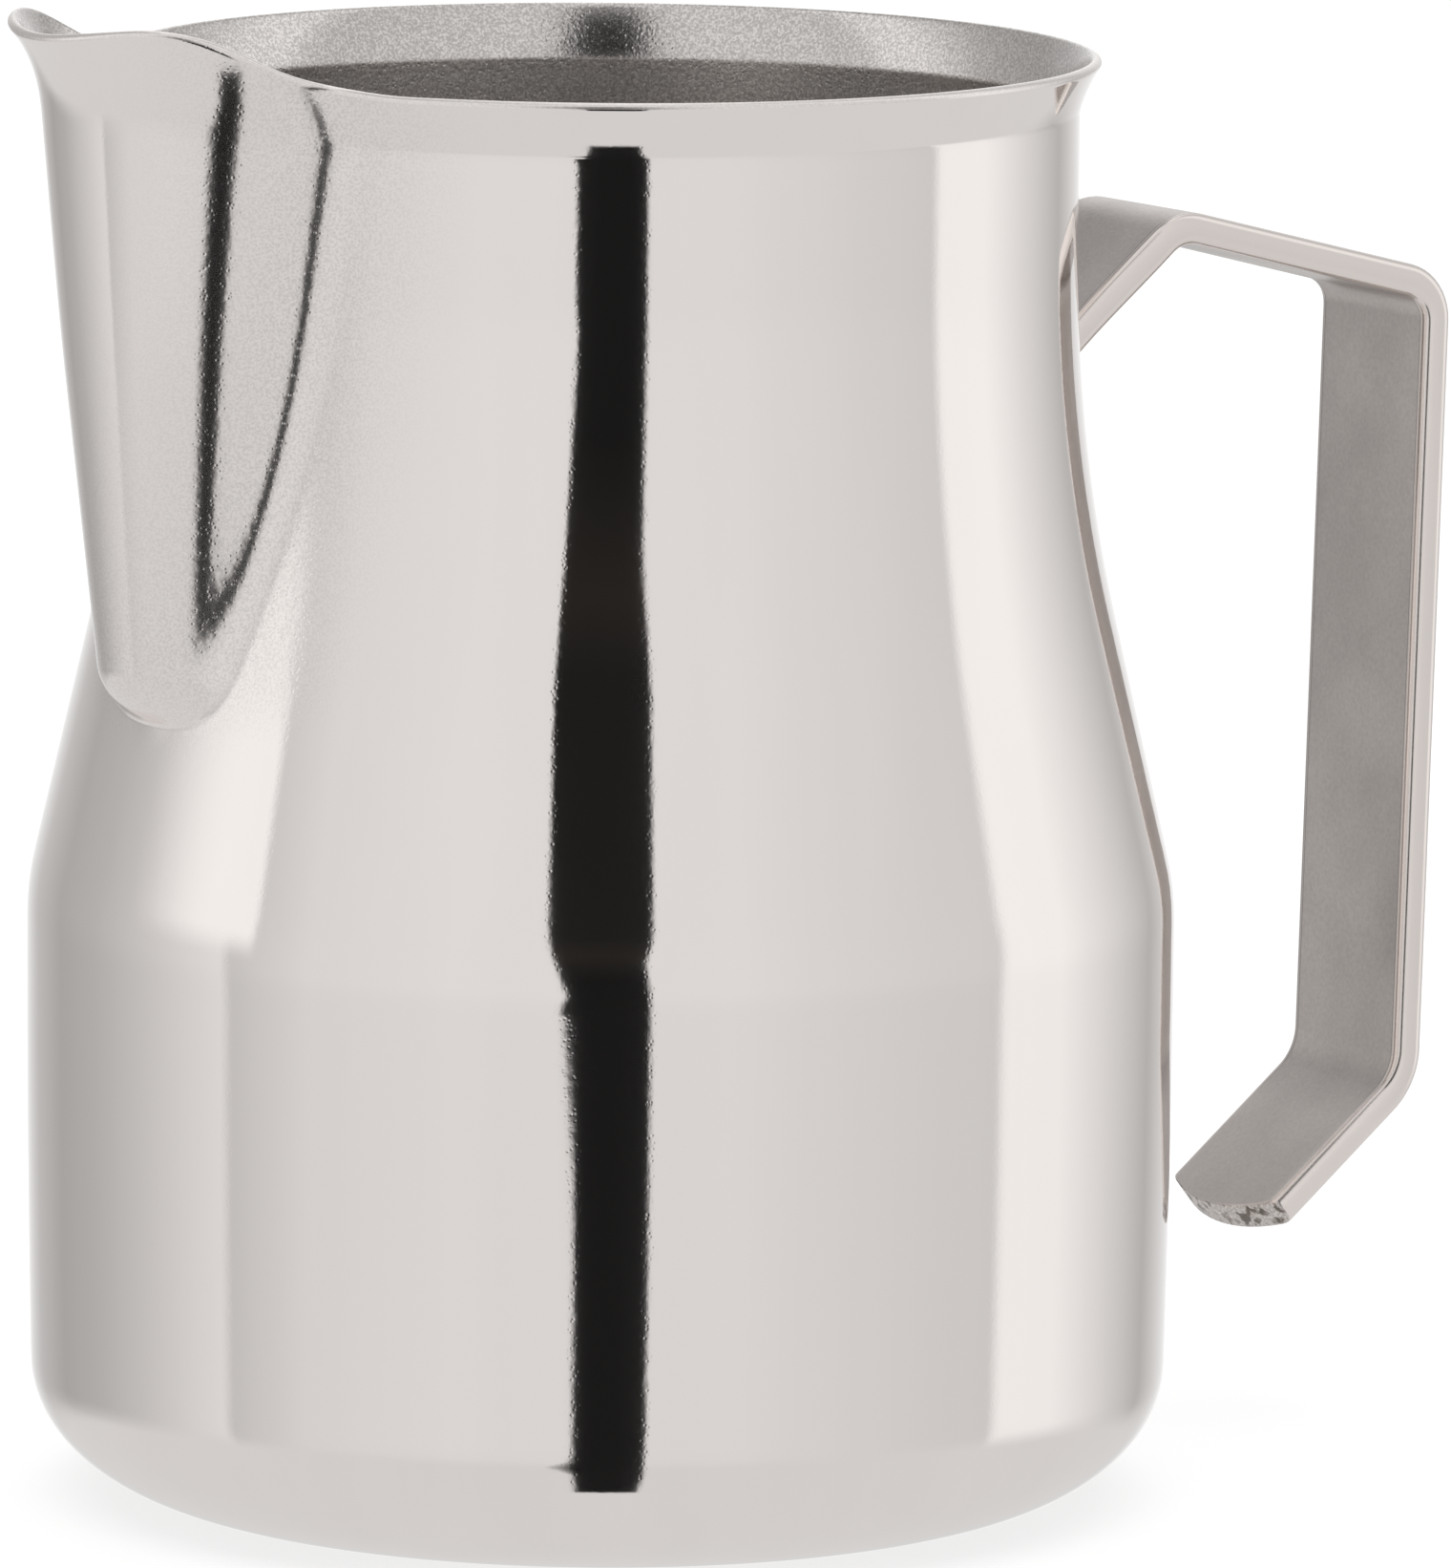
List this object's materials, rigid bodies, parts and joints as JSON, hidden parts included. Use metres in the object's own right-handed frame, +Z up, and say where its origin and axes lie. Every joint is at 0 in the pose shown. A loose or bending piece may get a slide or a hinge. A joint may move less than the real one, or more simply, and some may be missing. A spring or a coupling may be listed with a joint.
{
  "type": "milk frothing pitcher",
  "caption": "Round steel milk pitcher with a tapered neck, flared rim, pressed pouring spout and an open handle bent from flat strip.",
  "frame": {"origin": "centre of the flat base, on the plane that it rests on", "axes": "+X towards the handle, -X towards the spout, +Z up"},
  "size_m": [0.1212, 0.0848, 0.1116],
  "materials": {
    "polished_steel": "polished stainless steel with faint upright grain",
    "satin_steel": "tumbled satin stainless steel with bright rounded edges",
    "weld_steel": "dull spot-weld mark"
  },
  "bodies": {
    "root": {"pitcher_body": "polished_steel", "handle_strip": "satin_steel", "spot_weld_upper": "weld_steel", "spot_weld_lower": "weld_steel"}
  },
  "joints": []
}
